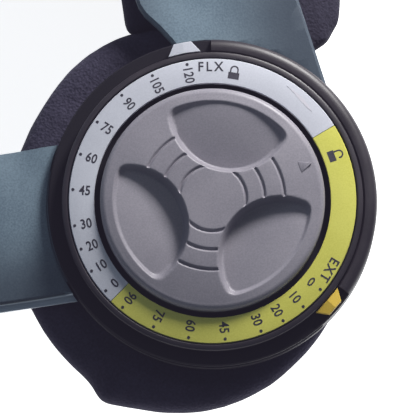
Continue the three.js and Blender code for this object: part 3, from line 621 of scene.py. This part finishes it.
def makeBar(name, node, body, turn, offset, crown, bends, paintedLightAt):
    b = bars
    bm = mergedCopy(node)
    roundEdges(bm, b["edge"] * mm, 3, fromAngle=35, chosen=lambda e: all(
        toLimb(v.co, turn).y > b["edgeFrom"] and toLimb(v.co, turn).z > b["edgeAbove"] for v in e.verts))
    # painted shade and painted highlight are set per point in the paintedLight attribute
    paintedLight = bm.verts.layers.float.new("paintedLight")
    across = Vector((math.cos(turn), math.sin(turn), 0))
    along = Vector((-math.sin(turn), math.cos(turn), 0))
    for way, count in ((across, 13), (along, 66)):
        for cut in range(-count, count + 1):
            bmesh.ops.bisect_plane(bm, geom=bm.verts[:] + bm.edges[:] + bm.faces[:], dist=0.001 * mm,
                                   plane_co=Vector((axisX, axisY, 0)) + way * (cut + 0.37) * b["step"] * mm,
                                   plane_no=way)
    for v in bm.verts:
        point = toLimb(v.co, turn)
        low = b["topZ"] - b["thick"] - (max(0, point.y - b["bendAt"]) * b["slope"] if bends else 0)
        share = max(0.0, min(1.0, (point.z - low) / b["thick"])) if point.y > b["edgeFrom"] - 1 else 0
        sideways = min(1.0, abs(point.x - offset) / b["halfWidth"])
        v.co.z -= crown * sideways ** 2 * share * smoothStep((point.y - b["edgeFrom"]) / 6) * mm
        v[paintedLight] = paintedLightAt(point.x - offset, share)
    piece = makePiece(name, bm, body, "bar_plastic", [node], smooth=30)
    even = piece.modifiers.new("even shading", "WEIGHTED_NORMAL")
    even.keep_sharp = True


def upperTone(x, height):
    # painted shade: the bar's colour darkens towards both of its sides
    return 0.85 * smoothStep((x - 1) / 22) + 0.75 * smoothStep((-x - 1) / 13)


def forearmTone(x, height):
    # painted highlight: the ledge along the lower side is paler than the bar; painted shade darkens the rest
    # of the bar towards its lower side
    return -1 if x < -15.9 and height < 0.4 else 0.65 * smoothStep((1 - x) / 15)


makeBar("upper_bar_strip", "upper_bar", "upper_arm", upperTurn, 0, 0, False, upperTone)
makeBar("forearm_bar_strip", "forearm_bar", "forearm", forearmTurn, 1.35, 1.6, True, forearmTone)
print("bars ready")


# padded pieces

simulatedFrames = 20


def inflate(piece, limit, swell):
    # a light cloth simulation puffs the foam, each point no further along its normal than limit allows,
    # and swell is then added
    rest = [(v.co.copy(), v.normal.copy()) for v in piece.data.vertices]
    cloth = piece.modifiers.new("puff", "CLOTH")
    cloth.settings.use_pressure = True
    cloth.settings.uniform_pressure_force = 4
    cloth.settings.effector_weights.gravity = 0
    cloth.settings.quality = 5
    scene = bpy.context.scene
    for number in range(1, simulatedFrames + 1):
        scene.frame_set(number)
    shape = piece.evaluated_get(bpy.context.evaluated_depsgraph_get()).to_mesh()
    puffed = [v.co.copy() for v in shape.vertices]
    piece.evaluated_get(bpy.context.evaluated_depsgraph_get()).to_mesh_clear()
    piece.modifiers.clear()
    scene.frame_set(1)
    for v, (before, normal), after in zip(piece.data.vertices, rest, puffed):
        most = limit(before)
        moved = (after - before).dot(normal)
        v.co = before + normal * max(-0.1 * most, min(most, moved))
    for v, (before, normal) in zip(piece.data.vertices, rest):
        v.co += normal * swell(before)
    piece.data.update()


def voxelForm(name, node, voxel, cover):
    source = bpy.data.objects.new(name + "_source", nodes[node].data.copy())
    bpy.context.scene.collection.objects.link(source)
    remesh = source.modifiers.new("voxels", "REMESH")
    remesh.mode = "VOXEL"
    remesh.voxel_size = voxel * mm
    remesh.use_smooth_shade = True
    shape = bpy.data.meshes.new_from_object(source.evaluated_get(bpy.context.evaluated_depsgraph_get()))
    bpy.data.objects.remove(source)
    shape.materials.clear()
    shape.materials.append(cover)
    piece = bpy.data.objects.new(name, shape)
    bpy.context.scene.collection.objects.link(piece)
    shape.shade_smooth()
    return piece


def makePadded(name, node, body, voxel, limit, swell, cover):
    piece = voxelForm(name, node, voxel, cover)
    inflate(piece, limit, swell)
    smoother = piece.modifiers.new("smooth", "SUBSURF")
    smoother.levels = smoother.render_levels = 1
    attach(piece, body)
    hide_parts(node)


padRim = {"puffFrom": 35.5, "puff": 0.6, "swellFrom": 37.5, "swell": 0.35}
cuffs = {
    "upper": {"turn": upperTurn, "straps": [(100, 138), (152, 190)], "puff": 2.2},
    "forearm": {"turn": forearmTurn, "straps": [(106, 144), (188, 226)], "puff": 2.0},
}
held = {"strapFade": 5, "barSide": 18, "barFade": 12, "barAbove": 60}
tongue = {"from": 28, "fadeIn": 3, "to": 92, "fadeOut": 6, "swell": 0.55}


def padLimit(point):
    radius = math.hypot(point.x - axisX, point.y - axisY) / mm
    return padRim["puff"] * mm * smoothStep((radius - padRim["puffFrom"]) / 3)


def cuffLimit(limb):
    settings = cuffs[limb]

    def limit(point):
        # the foam is held down under the straps and under the bar
        place = toLimb(point, settings["turn"])
        clear = min(max(low - place.y, place.y - high) for low, high in settings["straps"])
        beside = max(clear, 0) / held["strapFade"]
        if place.z > held["barAbove"]:
            beside = min(beside, max(0, abs(place.x) - held["barSide"]) / held["barFade"])
        return settings["puff"] * mm * smoothStep(beside)
    return limit


def padSwell(point):
    # only the rim clear of the plate grows, to make up for the corners that the voxels round off
    radius = math.hypot(point.x - axisX, point.y - axisY) / mm
    return padRim["swell"] * mm * smoothStep((radius - padRim["swellFrom"]) / 2)


def tongueSwell(point):
    # likewise for the tongue behind the upper bar
    place = toLimb(point, upperTurn)
    share = smoothStep((tongue["to"] - place.y) / tongue["fadeOut"])
    return tongue["swell"] * mm * share * smoothStep((place.y - tongue["from"]) / tongue["fadeIn"])


def noSwell(point):
    return 0


makePadded("elbow_pad_foam", "elbow_pad", "upper_arm", 1.6, padLimit, padSwell, finishes["navy_fabric"])
print("elbow pad ready")
makePadded("upper_cuff_foam", "upper_cuff", "upper_arm", 2.2, cuffLimit("upper"), tongueSwell, cuffShadedNavy)
makePadded("forearm_cuff_foam", "forearm_cuff", "forearm", 2.6, cuffLimit("forearm"), noSwell, cuffShadedNavy)
print("cuffs ready")


# straps, buckles and rivets

weaveRadius = 0.052  # turns the angle round the limb into a length along the strap


def makeStrap(limb, where, centre):
    turn = cuffs[limb]["turn"]
    node = f"{limb}_strap_{where}"
    bm = mergedCopy(node)
    low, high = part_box(node)
    middleZ = (low[2] + high[2]) / 2 / mm
    roundEdges(bm, 0.45 * mm, 2, fromAngle=60)
    uv = bm.loops.layers.uv.new("weave")
    for face in bm.faces:
        angles = []
        for loop in face.loops:
            point = toLimb(loop.vert.co, turn)
            angle = math.atan2(point.z - middleZ, point.x)
            if angles and angle - angles[0] > math.pi:
                angle -= 2 * math.pi
            if angles and angles[0] - angle > math.pi:
                angle += 2 * math.pi
            angles.append(angle)
            loop[uv].uv = (angle * weaveRadius, (point.y - centre) * mm)
    body = "upper_arm" if limb == "upper" else "forearm"
    webbing = makePiece(f"{node}_webbing", bm, body, "black_webbing", [node], smooth=50)


def makeHard(name, node, body, slot, width, segments=2, fromAngle=35):
    bm = mergedCopy(node)
    roundEdges(bm, width * mm, segments, fromAngle)
    makePiece(name, bm, body, slot, [node])


for limb, body, places in (("upper", "upper_arm", ((119, 0.372), (171, 0.372))),
                           ("forearm", "forearm", ((125, 0.338), (207, 0.29)))):
    for where, (centre, length) in zip(("near", "far"), places):
        makeStrap(limb, where, centre)
        makeHard(f"{limb}_buckle_{where}_frame", f"{limb}_buckle_{where}", body, "black_plastic", 0.3)
    for number in (1, 2):
        makeHard(f"{limb}_rivet_{number}_head", f"{limb}_rivet_{number}", body, "steel", 0.15, 2, 20)
print("straps ready")


# floor, light and camera

def makeFloor():
    bm = bmesh.new()
    bmesh.ops.create_grid(bm, x_segments=1, y_segments=1, size=2.5)
    mesh = bpy.data.meshes.new("floor")
    bm.to_mesh(mesh)
    bm.free()
    floor = bpy.data.objects.new("floor", mesh)
    bpy.context.scene.collection.objects.link(floor)
    floor.location.z = -0.0005
    material, tree, shader = newMaterial("paleFloor")
    shader.inputs["Base Color"].default_value = linear(246, 246, 247)
    shader.inputs["Roughness"].default_value = 0.9
    shader.inputs["Emission Color"].default_value = (1, 1, 1, 1)
    shader.inputs["Emission Strength"].default_value = 0.85
    mesh.materials.append(material)


lamps = {
    "key": {"kind": "AREA", "offset": (0.142, 0.273, 0.14), "aim": (0, 0, 0),
            "energy": 1.9, "size": 0.09, "colour": (1.0, 0.985, 0.97)},
    "glow": {"kind": "SPOT", "offset": (0.16, 0.26, 0.6), "aim": (0.024, 0.034, 0),
             "energy": 0.7, "size": 0.08, "colour": (1, 1, 1)},
    "left": {"kind": "AREA", "offset": (-0.6, 0.35, 0.45), "aim": (-0.03, 0, 0),
             "energy": 0.4, "size": 0.4, "colour": (0.62, 0.8, 1.0)},
}


def makeLamps():
    for name, lamp in lamps.items():
        light = bpy.data.lights.new(name, lamp["kind"])
        light.energy = lamp["energy"]
        light.color = lamp["colour"]
        if lamp["kind"] == "SPOT":
            light.spot_size = math.radians(17)
            light.spot_blend = 1
            light.shadow_soft_size = lamp["size"]
        else:
            light.shape = "SQUARE"
            light.size = lamp["size"]
        lampObject = bpy.data.objects.new(name, light)
        bpy.context.scene.collection.objects.link(lampObject)
        dialPlace = Vector((axisX, axisY, dialTop))
        lampObject.location = dialPlace + Vector(lamp["offset"])
        direction = dialPlace + Vector(lamp["aim"]) - lampObject.location
        lampObject.rotation_euler = direction.to_track_quat("-Z", "Y").to_euler()
    world = bpy.data.worlds.new("studio")
    bpy.context.scene.world = world
    world.use_nodes = True
    world.node_tree.nodes["Background"].inputs["Color"].default_value = (0.7, 0.84, 1.0, 1)
    world.node_tree.nodes["Background"].inputs["Strength"].default_value = 0.13


view = {"tilt": 8.0, "distance": 1.2, "frameWidth": 88.23, "right": -0.954, "up": -1.485}


def makeCamera():
    tilt = math.radians(view["tilt"])
    back = Vector((0, -math.sin(tilt), math.cos(tilt)))
    up = Vector((0, math.cos(tilt), math.sin(tilt)))
    camera = bpy.data.cameras.new("camera")
    camera.sensor_width = 36
    camera.lens = camera.sensor_width * view["distance"] / (view["frameWidth"] * mm)
    camera.clip_start = 0.05
    camera.clip_end = 20
    cameraObject = bpy.data.objects.new("camera", camera)
    bpy.context.scene.collection.objects.link(cameraObject)
    target = Vector((axisX + view["right"] * mm, axisY, dialTop)) + up * view["up"] * mm
    cameraObject.location = target + back * view["distance"]
    cameraObject.rotation_euler = (tilt, 0, 0)
    bpy.context.scene.camera = cameraObject


makeFloor()
makeLamps()
makeCamera()
viewSettings = bpy.context.scene.view_settings
viewSettings.view_transform = "Standard"
viewSettings.use_curve_mapping = True
viewSettings.curve_mapping.black_level = (-0.0115, -0.01, -0.016)  # the photograph's blacks are a little hazy
viewSettings.curve_mapping.update()
print("scene ready")
